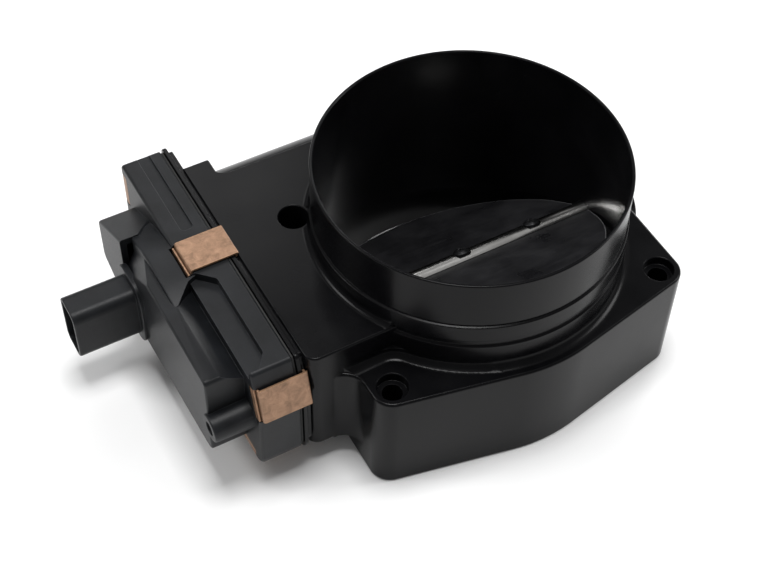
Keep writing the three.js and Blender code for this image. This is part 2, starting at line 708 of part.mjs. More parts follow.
const blockTopZ = 64.8;
const slopeEndY = 57.5;
const archRadius = 64;
const archRadiusCentreZ = 67.6 - archRadius;
const blockOutline = (inset) => roundedPolygon([
  [-23.5 + inset, 20 + inset, 3], [60, 17 + inset, 8], [84.7 - inset, 28, 5],
  [84.7 - inset, 50 - inset / 2, 4], [56 - inset / 2, blockTopZ - inset, 6],
  [-23.5 + inset, blockTopZ - inset, 2],
]);

function coverBase() {
  const base = extrudeX(coverOutline(0.4), coverRimX, coverFaceX, 1);
  const frontPocket = extrudeZ(roundedPolygon([
    [-118, -28.6, 0], [-107.5, -28.6, 0], [-102.8, -22, 2], [-102.8, 18.5, 2],
    [-109.3, 25, 0], [-118, 25, 0],
  ]), 64.2, 72);
  const backGroove = extrudeZ(rectangle(-105, -99.6, 47, 100, 2), 66.6, 72);
  return cut(base, frontPocket, backGroove);
}

// The low arch over the large gear. In plan it widens towards the joint.
function gearArch() {
  const endX = coverBlockX + 5;
  const arch = new THREE.Shape();
  arch.moveTo(10, 40);
  arch.lineTo(70, 40);
  arch.absarc(34, archRadiusCentreZ, archRadius, radians(56), radians(112), false);
  arch.closePath();
  const plan = roundedPolygon([
    [endX, 13.5, 0], [-113, 23.5, 2], [-109, 25, 0], [-109, 66, 0], [-113, 64, 2], [endX, 57, 0],
  ]);
  return extrudeX(arch, endX, -109.5, 0.8, 10).intersect(extrudeZ(plan, 41, throughAll));
}

// The valley between the block's top strip and the rim, lowered by the given drop.
function valley(drop) {
  const outline = new THREE.Shape();
  const stripX = coverBlockX + 6.5;
  const floorZ = blockTopZ - 5.5 - drop;
  outline.moveTo(stripX, blockTopZ - drop);
  outline.lineTo(coverRimX - 0.5, floorZ);
  outline.lineTo(coverRimX + 6, floorZ);
  outline.lineTo(coverRimX + 6, throughAll);
  outline.lineTo(stripX, throughAll);
  return extrudeY(outline, -40, throughAll);
}

// The block's outer face falls away towards its upper back corner.
function slopedCorner() {
  const outward = new THREE.Vector3(-0.877, 0.293, 0.383).normalize();
  const onFace = new THREE.Vector3(coverBlockX, 44.5, 53);
  const turn = new THREE.Quaternion().setFromUnitVectors(Z, outward);
  const half = new THREE.BoxGeometry(throughAll, throughAll, 20).translate(0, 0, 10);
  const beyond = solid(half.applyQuaternion(turn).translate(onFace.x, onFace.y, onFace.z));
  return beyond.intersect(box(-150, -100, -50, slopeEndY, 0, throughAll));
}

function cornerBoss() {
  const end = -129;
  return latheX([[0, -110], [6.5, -110], [6, end + 0.8], [5.2, end], [3, end], [2.6, end + 2.5],
    [0, end + 2.5]].reverse(), -26, 40, 24);
}

function connectorShroud() {
  const step = extrudeX(connectorOutline(4), coverBlockX - 1.6, coverBlockX + 1, 0.5);
  const shroud = extrudeX(connectorOutline(0), connectorEndX, coverBlockX, 0.6);
  return join(step, shroud);
}

function coverCavity() {
  const wallBehindSlope = solid(toGeometry(slopedCorner()).translate(wallThickness, 0, 0));
  const inBlock = extrudeX(blockOutline(wallThickness), coverBlockX + wallThickness, -109);
  return join(
    extrudeX(coverOutline(wallThickness), -101.3, coverFaceX + 1),
    extrudeX(rectangle(-31, 90, 15.6, 61.2, 6), -109.6, -101),
    cut(inBlock, valley(wallThickness), wallBehindSlope),
    extrudeX(connectorOutline(-1.6), connectorEndX - 1, -136),
  );
}

function makeCover() {
  const block = cut(extrudeX(blockOutline(0), coverBlockX, -110, 1), slopedCorner(), valley(0));
  const body = join(coverBase(), block, gearArch(), cornerBoss(), connectorShroud());
  const pinHoles = pinPlaces.map(([y, z]) => {
    const half = pinSide / 2 + gap;
    return box(-140, -120, y - half, y + half, z - half, z + half);
  });
  return cut(body, coverCavity(), ...pinHoles, ...clips.map(clipNotch));
}

addPart('gear_cover', makeCover(), blackPlastic);
addPart('cover_gasket', cut(extrudeX(coverOutline(1), coverFaceX + 0.3, flangeFaceX - 0.3),
  extrudeX(coverOutline(2.5), coverFaceX, flangeFaceX)), rubber);

// ---------------------------------------------------------------- electrical pieces in the cover

const boardX = -107;
const boardFaceX = boardX + 1.6;
addPart('sensor_board', box(boardX, boardFaceX, -26, 70, 20, 58), boardGreen);
addPart('sensor_chip', box(boardFaceX + gap, boardFaceX + 2.4, -4, 4, shaftHeight - 4, shaftHeight + 4),
  rubber);
pinPlaces.forEach(([y, z], i) => {
  const half = pinSide / 2;
  const pin = box(-152, boardX - gap, y - half, y + half, z - half, z + half);
  addPart(`connector_pin_${i + 1}`, pin, tinnedBrass);
});

// ---------------------------------------------------------------- origin

// The origin goes from the bore axis to the bottom centre of the assembly's bounding box.
const frontY = -flangeBulgeRadius;
const backY = housingBackY + clipStrapTop;
throttleBody.position.set(-(connectorEndX + idleBossEndX) / 2, -(frontY + backY) / 2, 0);

export default throttleBody;
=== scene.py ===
"""Looks of the electronic throttle body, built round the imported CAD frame.

The large visible pieces are rebuilt here as finer meshes with rounded edges and stand for their CAD
nodes. Everything inside keeps its CAD mesh. Lengths in the code are millimetres about the bore axis,
with the flange face at z = 0, and finish_piece moves each piece into the frame.
"""

import json
import math

import bmesh
import bpy
from mathutils import Matrix, Vector


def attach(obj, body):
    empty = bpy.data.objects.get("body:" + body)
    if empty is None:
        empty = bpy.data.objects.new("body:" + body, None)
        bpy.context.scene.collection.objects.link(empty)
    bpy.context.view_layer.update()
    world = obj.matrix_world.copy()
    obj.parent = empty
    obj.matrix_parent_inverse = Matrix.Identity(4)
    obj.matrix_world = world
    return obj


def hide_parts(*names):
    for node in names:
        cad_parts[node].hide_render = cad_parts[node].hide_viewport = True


MM = 0.001

# ---------------------------------------------------------------- dimensions shared with the CAD

TUBE_R = 63.5
COLLAR_R = TUBE_R + 0.8
BORE_R = 60.5
BODY_H = 101.0
PAD_H = 53.0
PAD_CORNER_R = 9.0
BLOCK_TOP = 68.5
LOWER_GROOVE_Z, UPPER_GROOVE_Z = 67.5, 77.9
SHAFT_Z = 40.2
BOLT_X, BOLT_FRONT_Y, BOLT_REAR_Y = 62.2, -50.0, 32.8
BOLT_R, SEAT_R, SEAT_DEPTH = 4.1, 6.2, 4.2
PAD_SIDE_X = -(BOLT_X + PAD_CORNER_R)
REST_OPENING = math.radians(31)
CLOSED_OPENING = math.radians(7)
PLATE_T = 3.0
SHAFT_R = 4.5
BEARING_R, SEAL_R, SPRING_BUSH_R = 11.1, 9.0, 16.5
SCREW_X = (-34.5, 0.0, 34.5)
SCREW_HOLE_R = 2.3
MOTOR_Y, MOTOR_Z = 62.4, 43.0
MOTOR_HOUSING_R, MOTOR_BORE_R = 23.0, 16.8
MOTOR_SCREW_DY, MOTOR_SCREW_DZ = 10.25, 17.75
GEAR_PIN_Y, GEAR_PIN_Z, GEAR_PIN_HOLE_R = 33.5, 40.63, 2.6
STOP_SCREW_X, STOP_SCREW_Y, STOP_SCREW_HOLE_R = -88.4, -8.0, 2.8
FRONT_Y, BACK_Y, BOTTOM_Z = -35.4, 94.0, 12.0
FLANGE_X, COVER_X, RIM_X, BLOCK_X, CONNECTOR_X = -93.5, -94.8, -112.0, -128.0, -156.5
TUB_FLOOR_X = -82.0
TUB_BACK_X = -78.9
NECK_X = -90.2
CLIP_X = -90.6
CLIP_WIDTH = 16.0
CLIP_TOP = 1.15
CONNECTOR_Y, CONNECTOR_Z, CONNECTOR_W, CONNECTOR_H = 49.3, 34.2, 15.4, 26.8
PIN_DY, PIN_DZ, PIN_HOLE_HALF = 3.0, 6.0, 0.8
BULGE_R = 70.5
IDLE_END_X = 77.5
BLOCK_TOP_Z = 64.8
WALL = 2.8

# The frame's origin is at the bottom centre of the assembly; the bore axis stands here in it.
BORE_AXIS = Vector((-(CONNECTOR_X + IDLE_END_X) / 2, -(BACK_Y + CLIP_TOP - BULGE_R) / 2, 0))

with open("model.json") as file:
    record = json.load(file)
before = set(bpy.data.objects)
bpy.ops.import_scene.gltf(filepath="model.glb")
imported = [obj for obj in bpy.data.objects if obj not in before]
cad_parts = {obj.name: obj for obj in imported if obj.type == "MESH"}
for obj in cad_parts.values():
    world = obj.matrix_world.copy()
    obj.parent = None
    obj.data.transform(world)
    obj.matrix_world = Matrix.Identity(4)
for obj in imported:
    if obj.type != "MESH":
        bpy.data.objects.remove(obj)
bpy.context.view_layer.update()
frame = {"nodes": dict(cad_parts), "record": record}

# ---------------------------------------------------------------- outlines


def arc(centre, radius, start, end, steps):
    """Points on an arc, both ends included."""
    turns = (start + (end - start) * i / steps for i in range(steps + 1))
    return [(centre[0] + radius * math.cos(t), centre[1] + radius * math.sin(t)) for t in turns]


def rounded(corners, steps=8):
    """A closed outline through (a, b, radius) corners, anticlockwise, each rounded to its radius."""
    points = []
    count = len(corners)
    for i, (a, b, radius) in enumerate(corners):
        here = Vector((a, b))
        before = (Vector(corners[i - 1][:2]) - here).normalized()
        after = (Vector(corners[(i + 1) % count][:2]) - here).normalized()
        if radius <= 0:
            points.append((a, b))
            continue
        half = math.acos(max(-1.0, min(1.0, before.dot(after)))) / 2
        start = here + before * radius / math.tan(half)
        end = here + after * radius / math.tan(half)
        centre = here + (before + after).normalized() * radius / math.sin(half)
        t0 = math.atan2(start.y - centre.y, start.x - centre.x)
        t1 = math.atan2(end.y - centre.y, end.x - centre.x)
        left = before.x * after.y - before.y * after.x < 0
        sweep = (t1 - t0) % (2 * math.pi)
        if not left:
            sweep -= 2 * math.pi
        points += arc(centre, radius, t0, t0 + sweep, steps)
    return points


def rectangle(a0, a1, b0, b1, radius, steps=8):
    return rounded([(a0, b0, radius), (a1, b0, radius), (a1, b1, radius), (a0, b1, radius)], steps)


def round_circles(circles, steps=24):
    """The outline round a list of circles (x, y, radius), joined by their shared tangents."""
    count = len(circles)
    normals = []
    for i, (x0, y0, r0) in enumerate(circles):
        x1, y1, r1 = circles[(i + 1) % count]
        along = math.atan2(y1 - y0, x1 - x0)
        normals.append(along - math.acos((r0 - r1) / math.hypot(x1 - x0, y1 - y0)))
    points = []
    for i, (x, y, radius) in enumerate(circles):
        start = normals[i - 1]
        points += arc((x, y), radius, start, start + (normals[i] - start) % (2 * math.pi), steps)
    return points


def tidy_outline(points):
    """Drops points that repeat the one before."""
    return [p for i, p in enumerate(points) if math.dist(p, points[i - 1]) > 1e-4]


def inset(points, distance):
    """The outline moved inwards by a distance."""
    moved = []
    count = len(points)
    for i in range(count):
        here = Vector(points[i])
        first = (here - Vector(points[i - 1])).normalized()
        second = (Vector(points[(i + 1) % count]) - here).normalized()
        n0, n1 = Vector((first.y, -first.x)), Vector((second.y, -second.x))
        step = (n0 + n1) / max(0.3, 1 + n0.dot(n1))
        moved.append(tuple(here - step * distance))
    return moved


# ---------------------------------------------------------------- solids

FACING_X = Matrix(((0, 0, 1, 0), (1, 0, 0, 0), (0, 1, 0, 0), (0, 0, 0, 1)))
FACING_Y = Matrix(((1, 0, 0, 0), (0, 0, 1, 0), (0, 1, 0, 0), (0, 0, 0, 1)))
FACING_Z = Matrix.Identity(4)


def new_object(name, mesh):
    obj = bpy.data.objects.new(name, mesh)
    bpy.context.scene.collection.objects.link(obj)
    return obj


def from_rings(name, rings, placement, caps=True):
    """Joins rings of points into one closed skin; the rings all have the same count."""
    bm = bmesh.new()
    loops = [[bm.verts.new(placement @ Vector(p)) for p in ring] for ring in rings]
    count = len(loops[0])
    pairs = zip(loops, loops[1:]) if caps else zip(loops, loops[1:] + loops[:1])
    for low, high in pairs:
        for i in range(count):
            j = (i + 1) % count
            bm.faces.new((low[i], low[j], high[j], high[i]))
    if caps:
        bm.faces.new(loops[0][::-1])
        bm.faces.new(loops[-1])
    bmesh.ops.remove_doubles(bm, verts=bm.verts, dist=1e-5)
    bmesh.ops.dissolve_degenerate(bm, edges=bm.edges, dist=1e-6)
    bmesh.ops.recalc_face_normals(bm, faces=bm.faces)
    mesh = bpy.data.meshes.new(name)
    bm.to_mesh(mesh)
    bm.free()
    return new_object(name, mesh)


def prism(points, low, high, edge=0.0, placement=FACING_Z, low_edge=None, steps=3):
    """An outline carried from one level to another, its end edges rounded by the given radius."""
    points = tidy_outline(points)
    low_edge = edge if low_edge is None else low_edge
    rings = []
    for radius, level, way in ((low_edge, low, 1), (edge, high, -1)):
        ends = []
        for i in range(steps + 1 if radius > 0 else 1):
            turn = math.pi / 2 * i / steps
            shape = inset(points, radius * (1 - math.sin(turn))) if radius > 0 else points
            height = level + way * radius * (1 - math.cos(turn))
            ends.append([(a, b, height) for a, b in shape])
        rings += ends if way > 0 else ends[::-1]
    return from_rings("prism", rings, placement)


def prism_x(points, low, high, edge=0.0, **more):
    return prism(points, low, high, edge, FACING_X, **more)


def lathe(profile, centre=(0, 0), along="Z", segments=192):
    """A closed (radius, height) profile turned about an axis along Z or X."""
    rings = []
    for radius, height in profile:
        ring = []
        for i in range(segments):
            t = 2 * math.pi * i / segments
            a, b = centre[0] + radius * math.cos(t), centre[1] + radius * math.sin(t)
            ring.append((a, b, height))
        rings.append(ring)
    closed = profile[0] == profile[-1]
    if closed:
        rings.pop()
    placement = FACING_Z if along == "Z" else FACING_X
    return from_rings("lathe", rings, placement, caps=not closed)


def drum(centre, radius, low, high, edge=0.0, along="Z", segments=64, steps=3):
    """A round bar with rounded ends."""
    circle = arc(centre, radius, 0, 2 * math.pi, segments)[:-1]
    return prism(circle, low, high, edge, FACING_Z if along == "Z" else FACING_X, steps=steps)


def block(x0, x1, y0, y1, z0, z1, edge=0.0):
    return prism(rectangle(x0, x1, y0, y1, 0), z0, z1, edge)


def combine(base, tools, operation):
    """Joins the tools to the base, or cuts them from it, and removes them."""
    for tool in tools:
        change = base.modifiers.new("combine", "BOOLEAN")
        change.operation = operation
        change.solver = "MANIFOLD"
        change.object = tool
    graph = bpy.context.evaluated_depsgraph_get()
    mesh = bpy.data.meshes.new_from_object(base.evaluated_get(graph))
    base.modifiers.clear()
    base.data = mesh
    for tool in tools:
        bpy.data.objects.remove(tool)
    return base


def join(base, *tools):
    return combine(base, tools, "UNION")


def cut(base, *tools):
    return combine(base, tools, "DIFFERENCE")


def common(base, *tools):
    return combine(base, tools, "INTERSECT")


def finish_piece(obj, name, material, body, stands_for=(), placement=None, sharp=32):
    """Names a piece, turns its millimetres to metres, smooths it, and ties it to its body."""
    obj.name = name
    obj.data.name = name
    if placement is not None:
        obj.data.transform(placement)
    obj.data.transform(Matrix.Scale(MM, 4) @ Matrix.Translation(BORE_AXIS))
    obj.data.materials.clear()
    obj.data.materials.append(material)
    obj.data.polygons.foreach_set("use_smooth", [True] * len(obj.data.polygons))
    obj.data.set_sharp_from_angle(angle=math.radians(sharp))
    smooth = obj.modifiers.new("face weighted normals", "WEIGHTED_NORMAL")
    smooth.keep_sharp = True
    smooth.weight = 60
    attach(obj, body)
    if stands_for:
        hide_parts(*stands_for)
    return obj


# ---------------------------------------------------------------- materials


class Nodes:
    """A short way to write one material's node tree."""

    def __init__(self, name):
        self.material = bpy.data.materials.new(name)
        self.material.use_nodes = True
        self.tree = self.material.node_tree
        self.shader = self.tree.nodes["Principled BSDF"]
        self.place = self.add("ShaderNodeTexCoord").outputs["Object"]

    def add(self, kind, **settings):
        node = self.tree.nodes.new(kind)
        for key, value in settings.items():
            setattr(node, key, value)
        return node

    def link(self, source, target):
        self.tree.links.new(source, target)

    def stretched(self, scale):
        """Object coordinates in units of 1 / scale per millimetre, with one scale for each axis."""
        mapping = self.add("ShaderNodeMapping")
        mapping.inputs["Scale"].default_value = [s * 1000 for s in scale]
        self.link(self.place, mapping.inputs["Vector"])
        return mapping.outputs["Vector"]

    def noise(self, scale, detail=3.0, roughness=0.55, distortion=0.0):
        """Noise with about `scale` features per millimetre (a number, or one for each axis)."""
        scale = (scale,) * 3 if isinstance(scale, (int, float)) else scale
        node = self.add("ShaderNodeTexNoise")
        self.link(self.stretched(scale), node.inputs["Vector"])
        node.inputs["Scale"].default_value = 1.0
        node.inputs["Detail"].default_value = detail
        node.inputs["Roughness"].default_value = roughness
        node.inputs["Distortion"].default_value = distortion
        return node.outputs["Fac"]

    def span(self, value, low, high, to_low=0.0, to_high=1.0):
        """Maps a value from one range to another, held inside the second."""
        node = self.add("ShaderNodeMapRange")
        self.link(value, node.inputs["Value"])
        for socket, number in zip(("From Min", "From Max", "To Min", "To Max"), (low, high, to_low, to_high)):
            node.inputs[socket].default_value = number
        return node.outputs["Result"]

    def blend(self, amount, first, second):
        """A colour between two; each is a colour or a socket, and so is the amount."""
        node = self.add("ShaderNodeMix", data_type="RGBA")
        self.link(amount, node.inputs["Factor"])
        a, b = [s for s in node.inputs if s.type == "RGBA"]
        for socket, colour in ((a, first), (b, second)):
            if isinstance(colour, bpy.types.NodeSocket):
                self.link(colour, socket)
            else:
                socket.default_value = (*colour, 1.0)
        return [s for s in node.outputs if s.type == "RGBA"][0]

    def product(self, first, second):
        node = self.add("ShaderNodeMath", operation="MULTIPLY")
        self.link(first, node.inputs[0])
        if isinstance(second, (int, float)):
            node.inputs[1].default_value = second
        else:
            self.link(second, node.inputs[1])
        return node.outputs["Value"]

    def edges(self, width_mm=0.5, low=0.02, high=0.25):
        """Near 1 along edges: where a rounded normal leans away from the surface's own."""
        round_off = self.add("ShaderNodeBevel", samples=4)
        round_off.inputs["Radius"].default_value = width_mm * MM
        lean = self.add("ShaderNodeVectorMath", operation="DOT_PRODUCT")
        self.link(round_off.outputs["Normal"], lean.inputs[0])
        self.link(self.add("ShaderNodeNewGeometry").outputs["Normal"], lean.inputs[1])
        return self.span(lean.outputs["Value"], 1 - low, 1 - high)

    def bump(self, height, strength, distance_mm, rounding_mm=0.0):
        """Small relief; the rounding softens the look of sharp edges."""
        node = self.add("ShaderNodeBump")
        node.inputs["Strength"].default_value = strength
        node.inputs["Distance"].default_value = distance_mm * MM
        self.link(height, node.inputs["Height"])
        if rounding_mm:
            soft = self.add("ShaderNodeBevel", samples=4)
            soft.inputs["Radius"].default_value = rounding_mm * MM
            self.link(soft.outputs["Normal"], node.inputs["Normal"])
        self.link(node.outputs["Normal"], self.shader.inputs["Normal"])

    def colour(self, socket):
        self.link(socket, self.shader.inputs["Base Color"])

    def gloss(self, roughness, metallic=0.0, specular=0.5):
        if isinstance(roughness, (int, float)):
            self.shader.inputs["Roughness"].default_value = roughness
        else:
            self.link(roughness, self.shader.inputs["Roughness"])
        self.shader.inputs["Metallic"].default_value = metallic
        self.shader.inputs["Specular IOR Level"].default_value = specular


def anodised_black():
    """Satin black anodising over machined aluminium."""
    n = Nodes("anodised black")
    cloud = n.noise(0.05, 4)
    fine = n.noise((0.6, 0.6, 6.0), 2)
    dust = n.span(n.noise(1.4, 5, 0.75), 0.66, 0.8)
    tone = n.blend(n.span(cloud, 0.3, 0.7), (0.0022, 0.0022, 0.0026), (0.0042, 0.0042, 0.0048))
    worn = n.blend(n.product(n.edges(), 0.2), tone, (0.035, 0.035, 0.038))
    n.colour(n.blend(n.product(dust, 0.04), worn, (0.05, 0.05, 0.053)))
    n.gloss(n.span(cloud, 0.3, 0.7, 0.2, 0.27), 0.0, 0.11)
    n.bump(fine, 0.06, 0.012, 0.25)
    return n.material


def polished_steel():
    """Bright ground steel with lengthwise polishing marks."""
    n = Nodes("polished steel")
    marks = n.noise((0.08, 9.0, 9.0), 3)
    cloud = n.noise(0.12, 3)
    n.colour(n.blend(n.span(cloud, 0.35, 0.7), (0.62, 0.61, 0.59), (0.78, 0.77, 0.75)))
    n.gloss(n.span(marks, 0.3, 0.7, 0.12, 0.26), 1.0)
    n.bump(marks, 0.15, 0.01, 0.25)
    return n.material


def plate_metal():
    """Dark anodised plate with fine crossing scratches and specks."""
    n = Nodes("dark plate")
    cloud = n.noise(0.06, 4)
    scratch = n.noise((0.04, 4.5, 4.5), 4, 0.7, 0.4)
    speck = n.span(n.noise(2.2, 5, 0.8), 0.68, 0.8)
    base = n.blend(n.span(cloud, 0.3, 0.7), (0.008, 0.008, 0.009), (0.026, 0.026, 0.028))
    lined = n.blend(n.product(n.span(scratch, 0.55, 0.72), 0.35), base, (0.1, 0.1, 0.105))
    rimmed = n.blend(n.edges(), lined, (0.35, 0.35, 0.36))
    n.colour(n.blend(n.product(speck, 0.25), rimmed, (0.2, 0.2, 0.205)))
    n.gloss(n.span(cloud, 0.3, 0.7, 0.26, 0.38), 0.2, 0.25)
    n.bump(scratch, 0.12, 0.015)
    return n.material


def black_screw():
    """Blackened steel, worn brighter on its edges."""
    n = Nodes("blackened steel")
    cloud = n.noise(0.8, 3)
    base = n.blend(n.span(cloud, 0.3, 0.7), (0.012, 0.012, 0.013), (0.028, 0.028, 0.03))
    n.colour(n.blend(n.product(n.edges(), 0.5), base, (0.22, 0.22, 0.23)))
    n.gloss(n.span(cloud, 0.3, 0.7, 0.28, 0.42), 0.7)
    n.bump(cloud, 0.1, 0.02, 0.15)
    return n.material


def moulded_black():
    """Glass-filled moulded plastic: fine grain, faint mottling, paler rubbed edges."""
    n = Nodes("moulded black plastic")
    grain = n.noise(3.2, 3, 0.6)
    cloud = n.noise(0.07, 5, 0.6)
    fleck = n.span(n.noise(2.0, 4, 0.7), 0.6, 0.75)
    base = n.blend(n.span(cloud, 0.35, 0.68), (0.0045, 0.005, 0.006), (0.01, 0.011, 0.013))
    flecked = n.blend(n.product(fleck, 0.5), base, (0.045, 0.048, 0.052))
    n.colour(n.blend(n.product(n.edges(), 0.5), flecked, (0.07, 0.073, 0.08)))
    n.gloss(n.span(grain, 0.3, 0.7, 0.36, 0.52), 0.0, 0.25)
    n.bump(grain, 0.5, 0.05, 0.3)
    return n.material


def copper_strap():
    """Copper-coloured spring strip, brushed along its length, with paler sheared edges."""
    n = Nodes("copper spring strip")
    brushed = n.noise((0.25, 5.0, 5.0), 4, 0.65)
    cloud = n.noise(0.22, 5, 0.65, 0.6)
    base = n.blend(n.span(cloud, 0.32, 0.68), (0.19, 0.11, 0.066), (0.42, 0.25, 0.157))
    streaked = n.blend(n.product(n.span(brushed, 0.52, 0.75), 0.4), base, (0.4, 0.26, 0.17))
    n.colour(n.blend(n.product(n.edges(), 0.7), streaked, (0.62, 0.36, 0.2)))
    n.gloss(n.span(cloud, 0.3, 0.7, 0.38, 0.52), 0.45, 0.4)
    n.bump(brushed, 0.2, 0.02, 0.12)
    return n.material


def rubber():
    """Matt black rubber with a faint bloom."""
    n = Nodes("black rubber")
    cloud = n.noise(0.6, 4)
    n.colour(n.blend(n.span(cloud, 0.3, 0.7), (0.01, 0.01, 0.01), (0.024, 0.024, 0.023)))
    n.gloss(n.span(cloud, 0.3, 0.7, 0.6, 0.8), 0.0, 0.4)
    n.bump(cloud, 0.2, 0.03)
    return n.material


def zinc_steel():
    """Zinc plating with its soft spangle and rubbed edges."""
    n = Nodes("zinc plated steel")
    spangle = n.noise(0.5, 4, 0.6, 0.8)
    fine = n.noise(4.0, 2)
    base = n.blend(n.span(spangle, 0.35, 0.68), (0.36, 0.37, 0.39), (0.56, 0.57, 0.59))
    n.colour(n.blend(n.product(n.edges(), 0.6), base, (0.78, 0.78, 0.79)))
    n.gloss(n.span(spangle, 0.3, 0.7, 0.25, 0.42), 0.95)
    n.bump(fine, 0.1, 0.01, 0.12)
    return n.material


def gear_plastic():
    """Natural moulded gear plastic, slightly translucent looking, greyed with grease."""
    n = Nodes("natural gear plastic")
    cloud = n.noise(0.15, 4)
    grease = n.span(n.noise(0.4, 4, 0.7), 0.55, 0.75)
    base = n.blend(n.span(cloud, 0.3, 0.7), (0.56, 0.52, 0.41), (0.68, 0.64, 0.53))
    n.colour(n.blend(n.product(grease, 0.4), base, (0.36, 0.31, 0.2)))
    n.gloss(n.span(grease, 0, 1, 0.5, 0.25), 0.0, 0.5)
    n.bump(n.noise(2.5, 2), 0.12, 0.02, 0.1)
    return n.material


def tinned_brass():
    """Brass with thin tin plating, drawn lengthwise."""
    n = Nodes("tinned brass")
    cloud = n.noise(0.7, 4)
    marks = n.noise((0.2, 6.0, 6.0), 2)
    base = n.blend(n.span(cloud, 0.35, 0.65), (0.52, 0.44, 0.26), (0.7, 0.64, 0.48))
    n.colour(n.blend(n.product(n.edges(), 0.5), base, (0.85, 0.76, 0.5)))
    n.gloss(n.span(marks, 0.3, 0.7, 0.2, 0.34), 1.0)
    n.bump(marks, 0.12, 0.01)
    return n.material


def circuit_board():
    """Green solder mask over faint tracks."""
    n = Nodes("circuit board")
    tracks = n.add("ShaderNodeTexVoronoi", feature="F1", distance="CHEBYCHEV")
    n.link(n.stretched((0.2, 0.2, 0.2)), tracks.inputs["Vector"])
    tracks.inputs["Scale"].default_value = 1.0
    lines = n.span(tracks.outputs["Distance"], 0.42, 0.5)
    base = n.blend(lines, (0.014, 0.07, 0.026), (0.03, 0.13, 0.05))
    n.colour(n.blend(n.product(n.noise(0.5, 3), 0.2), base, (0.02, 0.05, 0.02)))
    n.gloss(n.span(lines, 0, 1, 0.3, 0.42), 0.0, 0.5)
    n.bump(lines, 0.2, 0.03)
    return n.material


def chip_plastic():
    """Dark moulded chip package."""
    n = Nodes("chip plastic")
    grain = n.noise(6.0, 3)
    n.colour(n.blend(n.span(grain, 0.3, 0.7), (0.014, 0.014, 0.015), (0.03, 0.03, 0.032)))
    n.gloss(n.span(grain, 0.3, 0.7, 0.45, 0.6), 0.0, 0.5)
    n.bump(grain, 0.2, 0.02, 0.1)
    return n.material


def sintered_magnet():
    """Grey sintered magnet with rubbed edges."""
    n = Nodes("sintered magnet")
    grain = n.noise(3.0, 4)
    base = n.blend(n.span(grain, 0.35, 0.65), (0.1, 0.1, 0.11), (0.2, 0.2, 0.21))
    n.colour(n.blend(n.product(n.edges(), 0.5), base, (0.4, 0.4, 0.41)))
    n.gloss(n.span(grain, 0.3, 0.7, 0.4, 0.55), 0.7)
    n.bump(grain, 0.2, 0.02, 0.1)
    return n.material


finishes = {
    "anodised_housing": anodised_black(),
    "black_rubber": rubber(),
    "zinc_steel": zinc_steel(),
    "polished_steel": polished_steel(),
    "black_plate": plate_metal(),
    "black_screw": black_screw(),
    "copper_spring": copper_strap(),
    "black_plastic": moulded_black(),
    "gear_plastic": gear_plastic(),
    "tinned_brass": tinned_brass(),
    "circuit_board": circuit_board(),
    "chip": chip_plastic(),
    "magnet": sintered_magnet(),
}

# The CAD nodes that stay as they are take the finish of their slot in the record.
for part in frame["record"]["subparts"]:
    node = frame["nodes"][part["node"]]
    node.data.materials.clear()
    node.data.materials.append(finishes[part["material_slot"]])

# ---------------------------------------------------------------- housing


def turned(corners, centre=(0, 0), along="Z", segments=192, steps=5):
    """A solid of revolution from (radius, height, rounding) corners that start and end on the axis."""
    return lathe(rounded(corners, steps), centre, along, segments)


def cover_outline(grow, steps=8):
    """The joint between cover and housing seen along X, moved inwards by `grow`."""
    return rounded([
        (FRONT_Y - 1 + grow, BOTTOM_Z + grow, 7),
        (BACK_Y - grow, BOTTOM_Z + grow, 14),
        (BACK_Y - grow, BLOCK_TOP - grow, 3),
        (FRONT_Y + 5 + grow, BLOCK_TOP - grow, 2),
        (FRONT_Y - 1 + grow, 46, 12),
    ], steps)


def tub_outline():
    """The gear tub seen along X; its top back corner slopes off."""
    return rounded([
        (-20, BOTTOM_Z, 15), (BACK_Y, BOTTOM_Z, 15), (BACK_Y, 47, 5), (77.9, BLOCK_TOP, 1.2),
        (-20, BLOCK_TOP, 15),
    ])


def tub_cavity_outline():
    return rounded([(-30, 14.8, 9), (88.5, 14.8, 9), (88.5, 49, 4), (76.2, 65.4, 3), (-30, 65.4, 9)])


def inlet_tube():
    """The tube, with a wide groove in its collar, a narrow one on top of it, and a soft foot on the pad."""
    foot_r, foot_z = COLLAR_R + 4.3, PAD_H - 0.02
    lower, upper = LOWER_GROOVE_Z, UPPER_GROOVE_Z
    lower_r, upper_r = COLLAR_R - 0.9, COLLAR_R - 1.1
    return turned([
        (0, PAD_H - 10, 0), (foot_r, PAD_H - 10, 0), (foot_r, foot_z, 0), (COLLAR_R, foot_z, 4),
        (COLLAR_R, lower - 2, 0.4), (lower_r, lower - 1.2, 0.3),
        (lower_r, lower + 1.2, 0.3), (COLLAR_R, lower + 2, 0.5),
        (COLLAR_R, upper - 0.7, 0.4), (upper_r, upper - 0.3, 0.1),
        (upper_r, upper + 0.3, 0.05), (TUBE_R, upper + 0.5, 0.1),
        (TUBE_R, BODY_H, 0.6), (0, BODY_H, 0),
    ], segments=256)


def flange_pad():
    """The mounting pad: round corners at the bolts, bulging round the bore at the front and back."""
    r = PAD_CORNER_R
    bulge = (0, 0, BULGE_R)
    outline = round_circles([
        (-BOLT_X, BOLT_FRONT_Y, r), bulge, (BOLT_X, BOLT_FRONT_Y, r),
        (BOLT_X, BOLT_REAR_Y, r), bulge, (-BOLT_X, BOLT_REAR_Y, r),
    ])
    return prism(outline, 0, PAD_H, 1.1, steps=4)


